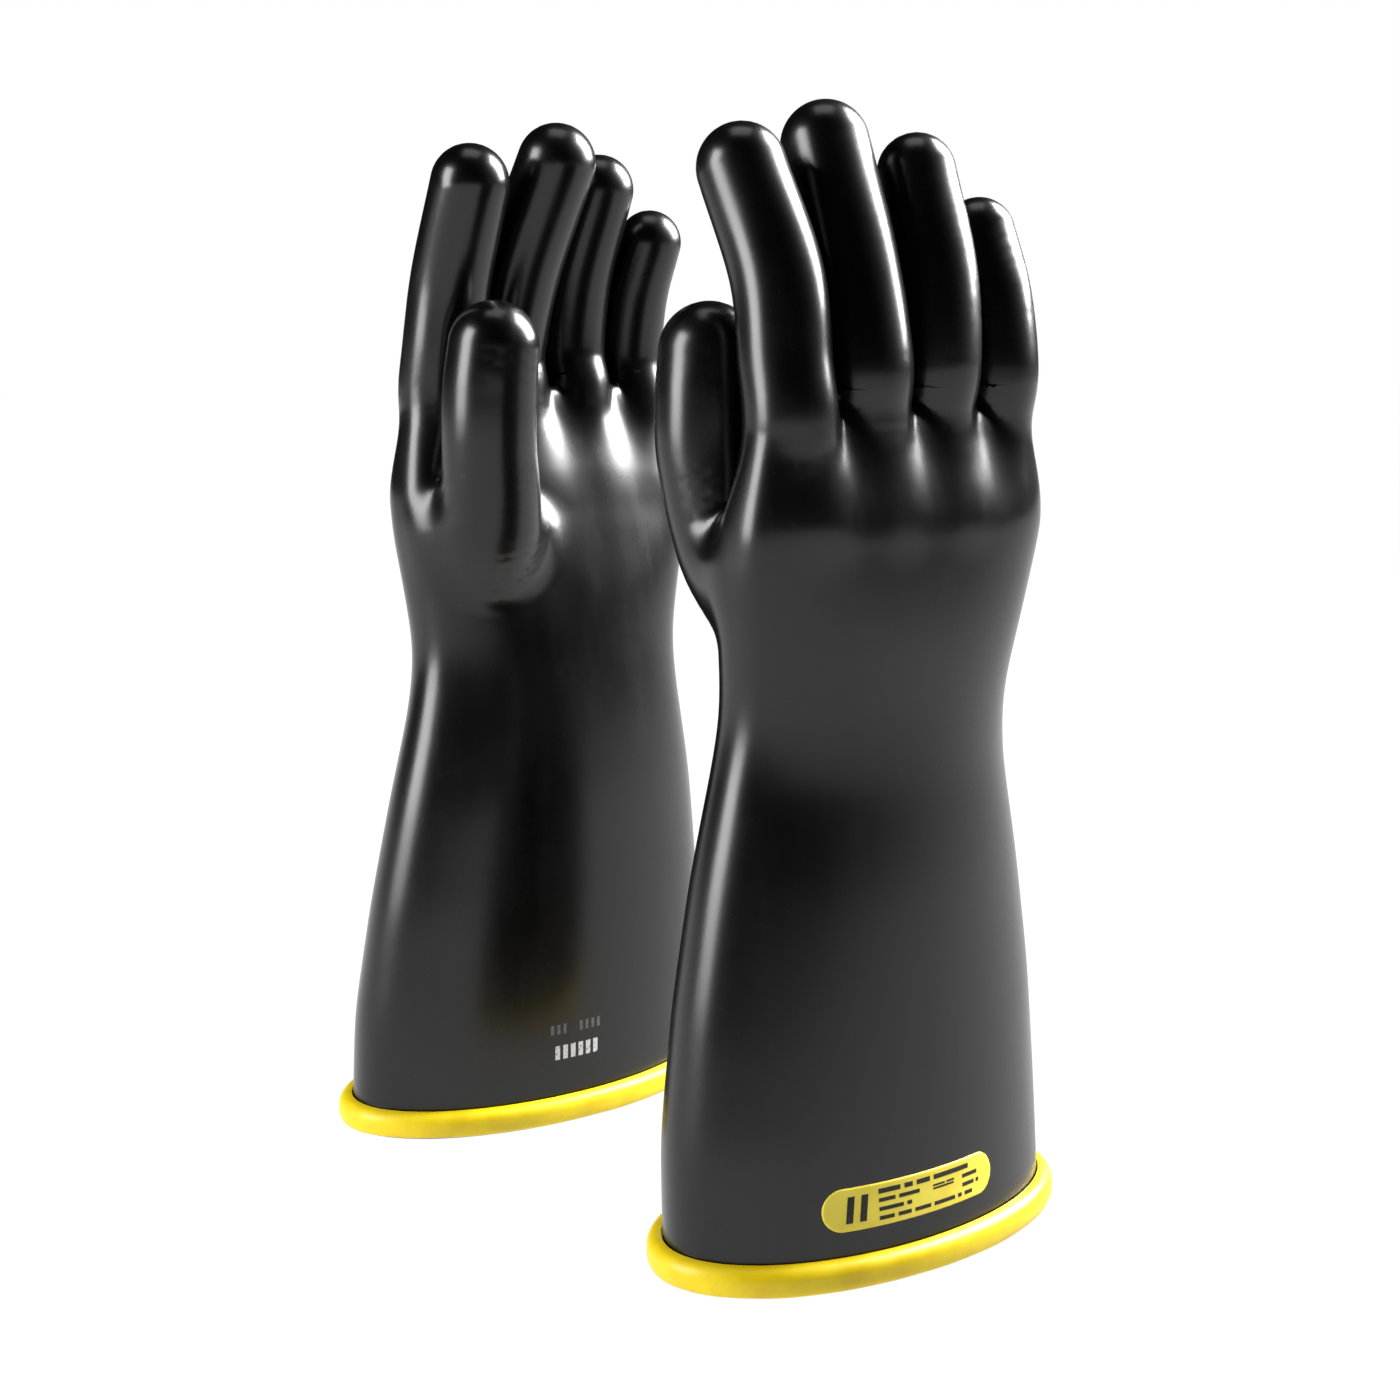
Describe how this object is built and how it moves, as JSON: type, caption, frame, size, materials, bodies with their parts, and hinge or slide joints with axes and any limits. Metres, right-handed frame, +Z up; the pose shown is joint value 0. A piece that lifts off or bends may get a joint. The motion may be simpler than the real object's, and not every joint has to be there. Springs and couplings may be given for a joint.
{
  "type": "electrical insulating gloves",
  "caption": "Pair of long dipped-rubber insulating gloves standing on rolled, colour-coated cuffs, palms facing, with hollow hands and digits that bend.",
  "frame": {"origin": "on the floor, midway between the two standing gloves", "axes": "+Z up from the cuffs to the fingertips; X runs across each glove, thumbs at -X; Y runs from the right glove at -Y to the left glove at +Y, palms facing each other"},
  "size_m": [0.1594, 0.2714, 0.3573],
  "materials": {
    "rubber": "satin",
    "class_coat": "matte",
    "label": "matte"
  },
  "bodies": {
    "left_cuff": {"left_cuff": "rubber", "left_wrist_bend": "rubber", "left_bead_core": "rubber", "left_bead_coat": "class_coat", "left_label": "label"},
    "left_hand": {"left_palm": "rubber", "left_index_base_bend": "rubber", "left_middle_base_bend": "rubber", "left_ring_base_bend": "rubber", "left_little_base_bend": "rubber", "left_thumb_base_bend": "rubber"},
    "left_index_lower": {"left_index_lower": "rubber", "left_index_middle_bend": "rubber"},
    "left_index_tip": {"left_index_tip": "rubber"},
    "left_middle_lower": {"left_middle_lower": "rubber", "left_middle_middle_bend": "rubber"},
    "left_middle_tip": {"left_middle_tip": "rubber"},
    "left_ring_lower": {"left_ring_lower": "rubber", "left_ring_middle_bend": "rubber"},
    "left_ring_tip": {"left_ring_tip": "rubber"},
    "left_little_lower": {"left_little_lower": "rubber", "left_little_middle_bend": "rubber"},
    "left_little_tip": {"left_little_tip": "rubber"},
    "left_thumb_lower": {"left_thumb_lower": "rubber", "left_thumb_middle_bend": "rubber"},
    "left_thumb_tip": {"left_thumb_tip": "rubber"},
    "right_cuff": {"right_cuff": "rubber", "right_wrist_bend": "rubber", "right_bead_core": "rubber", "right_bead_coat": "class_coat", "right_label": "label"},
    "right_hand": {"right_palm": "rubber", "right_index_base_bend": "rubber", "right_middle_base_bend": "rubber", "right_ring_base_bend": "rubber", "right_little_base_bend": "rubber", "right_thumb_base_bend": "rubber"},
    "right_index_lower": {"right_index_lower": "rubber", "right_index_middle_bend": "rubber"},
    "right_index_tip": {"right_index_tip": "rubber"},
    "right_middle_lower": {"right_middle_lower": "rubber", "right_middle_middle_bend": "rubber"},
    "right_middle_tip": {"right_middle_tip": "rubber"},
    "right_ring_lower": {"right_ring_lower": "rubber", "right_ring_middle_bend": "rubber"},
    "right_ring_tip": {"right_ring_tip": "rubber"},
    "right_little_lower": {"right_little_lower": "rubber", "right_little_middle_bend": "rubber"},
    "right_little_tip": {"right_little_tip": "rubber"},
    "right_thumb_lower": {"right_thumb_lower": "rubber", "right_thumb_middle_bend": "rubber"},
    "right_thumb_tip": {"right_thumb_tip": "rubber"}
  },
  "joints": [
    {"name": "left_wrist_bend", "type": "hinge", "parent": "left_cuff", "child": "left_hand", "pos_m": [0.0063, 0.0845, 0.172], "axis": [1, 0, 0], "range_deg": [-30, 30], "stiffness_Nm_per_rad": 8, "deforming": ["left_wrist_bend"]},
    {"name": "left_index_base_bend", "type": "hinge", "parent": "left_hand", "child": "left_index_lower", "pos_m": [-0.0338, 0.09, 0.278], "axis": [1, 0, 0], "range_deg": [-15, 6], "stiffness_Nm_per_rad": 0.6, "deforming": ["left_index_base_bend"]},
    {"name": "left_index_middle_bend", "type": "hinge", "parent": "left_index_lower", "child": "left_index_tip", "pos_m": [-0.0329, 0.0849, 0.304], "axis": [1, 0, 0], "range_deg": [0, 35], "stiffness_Nm_per_rad": 0.5, "deforming": ["left_index_middle_bend"]},
    {"name": "left_middle_base_bend", "type": "hinge", "parent": "left_hand", "child": "left_middle_lower", "pos_m": [-0.0043, 0.0933, 0.279], "axis": [1, 0, 0], "range_deg": [-15, 45], "stiffness_Nm_per_rad": 0.6, "deforming": ["left_middle_base_bend"]},
    {"name": "left_middle_middle_bend", "type": "hinge", "parent": "left_middle_lower", "child": "left_middle_tip", "pos_m": [-0.0024, 0.0846, 0.309], "axis": [1, 0, 0], "range_deg": [0, 45], "stiffness_Nm_per_rad": 0.5, "deforming": ["left_middle_middle_bend"]},
    {"name": "left_ring_base_bend", "type": "hinge", "parent": "left_hand", "child": "left_ring_lower", "pos_m": [0.0248, 0.095, 0.278], "axis": [1, 0, 0], "range_deg": [-15, 45], "stiffness_Nm_per_rad": 0.6, "deforming": ["left_ring_base_bend"]},
    {"name": "left_ring_middle_bend", "type": "hinge", "parent": "left_ring_lower", "child": "left_ring_tip", "pos_m": [0.0268, 0.0916, 0.305], "axis": [1, 0, 0], "range_deg": [0, 45], "stiffness_Nm_per_rad": 0.5, "deforming": ["left_ring_middle_bend"]},
    {"name": "left_little_base_bend", "type": "hinge", "parent": "left_hand", "child": "left_little_lower", "pos_m": [0.053, 0.0946, 0.2748], "axis": [1, 0, 0], "range_deg": [-15, 45], "stiffness_Nm_per_rad": 0.6, "deforming": ["left_little_base_bend"]},
    {"name": "left_little_middle_bend", "type": "hinge", "parent": "left_little_lower", "child": "left_little_tip", "pos_m": [0.0538, 0.091, 0.2976], "axis": [1, 0, 0], "range_deg": [0, 45], "stiffness_Nm_per_rad": 0.5, "deforming": ["left_little_middle_bend"]},
    {"name": "left_thumb_base_bend", "type": "hinge", "parent": "left_hand", "child": "left_thumb_lower", "pos_m": [-0.0363, 0.0588, 0.247], "axis": [1, 0, 0], "range_deg": [0, 30], "stiffness_Nm_per_rad": 1, "deforming": ["left_thumb_base_bend"]},
    {"name": "left_thumb_middle_bend", "type": "hinge", "parent": "left_thumb_lower", "child": "left_thumb_tip", "pos_m": [-0.0364, 0.0576, 0.266], "axis": [0, -1, 0], "range_deg": [-30, 0], "stiffness_Nm_per_rad": 0.5, "deforming": ["left_thumb_middle_bend"]},
    {"name": "right_glove_lift", "type": "slide", "parent": "left_cuff", "child": "right_cuff", "axis": [0, 0, 1], "range_m": [0, 0.4]},
    {"name": "right_wrist_bend", "type": "hinge", "parent": "right_cuff", "child": "right_hand", "pos_m": [0.0063, -0.0845, 0.172], "axis": [-1, 0, 0], "range_deg": [-30, 30], "stiffness_Nm_per_rad": 8, "deforming": ["right_wrist_bend"]},
    {"name": "right_index_base_bend", "type": "hinge", "parent": "right_hand", "child": "right_index_lower", "pos_m": [-0.0338, -0.09, 0.278], "axis": [-1, 0, 0], "range_deg": [-15, 6], "stiffness_Nm_per_rad": 0.6, "deforming": ["right_index_base_bend"]},
    {"name": "right_index_middle_bend", "type": "hinge", "parent": "right_index_lower", "child": "right_index_tip", "pos_m": [-0.0329, -0.0849, 0.304], "axis": [-1, 0, 0], "range_deg": [0, 35], "stiffness_Nm_per_rad": 0.5, "deforming": ["right_index_middle_bend"]},
    {"name": "right_middle_base_bend", "type": "hinge", "parent": "right_hand", "child": "right_middle_lower", "pos_m": [-0.0043, -0.0933, 0.279], "axis": [-1, 0, 0], "range_deg": [-15, 45], "stiffness_Nm_per_rad": 0.6, "deforming": ["right_middle_base_bend"]},
    {"name": "right_middle_middle_bend", "type": "hinge", "parent": "right_middle_lower", "child": "right_middle_tip", "pos_m": [-0.0024, -0.0846, 0.309], "axis": [-1, 0, 0], "range_deg": [0, 45], "stiffness_Nm_per_rad": 0.5, "deforming": ["right_middle_middle_bend"]},
    {"name": "right_ring_base_bend", "type": "hinge", "parent": "right_hand", "child": "right_ring_lower", "pos_m": [0.0248, -0.095, 0.278], "axis": [-1, 0, 0], "range_deg": [-15, 45], "stiffness_Nm_per_rad": 0.6, "deforming": ["right_ring_base_bend"]},
    {"name": "right_ring_middle_bend", "type": "hinge", "parent": "right_ring_lower", "child": "right_ring_tip", "pos_m": [0.0268, -0.0916, 0.305], "axis": [-1, 0, 0], "range_deg": [0, 45], "stiffness_Nm_per_rad": 0.5, "deforming": ["right_ring_middle_bend"]},
    {"name": "right_little_base_bend", "type": "hinge", "parent": "right_hand", "child": "right_little_lower", "pos_m": [0.053, -0.0946, 0.2748], "axis": [-1, 0, 0], "range_deg": [-15, 45], "stiffness_Nm_per_rad": 0.6, "deforming": ["right_little_base_bend"]},
    {"name": "right_little_middle_bend", "type": "hinge", "parent": "right_little_lower", "child": "right_little_tip", "pos_m": [0.0538, -0.091, 0.2976], "axis": [-1, 0, 0], "range_deg": [0, 45], "stiffness_Nm_per_rad": 0.5, "deforming": ["right_little_middle_bend"]},
    {"name": "right_thumb_base_bend", "type": "hinge", "parent": "right_hand", "child": "right_thumb_lower", "pos_m": [-0.0363, -0.0588, 0.247], "axis": [-1, 0, 0], "range_deg": [0, 30], "stiffness_Nm_per_rad": 1, "deforming": ["right_thumb_base_bend"]},
    {"name": "right_thumb_middle_bend", "type": "hinge", "parent": "right_thumb_lower", "child": "right_thumb_tip", "pos_m": [-0.0364, -0.0576, 0.266], "axis": [0, -1, 0], "range_deg": [-30, 0], "stiffness_Nm_per_rad": 0.5, "deforming": ["right_thumb_middle_bend"]}
  ]
}
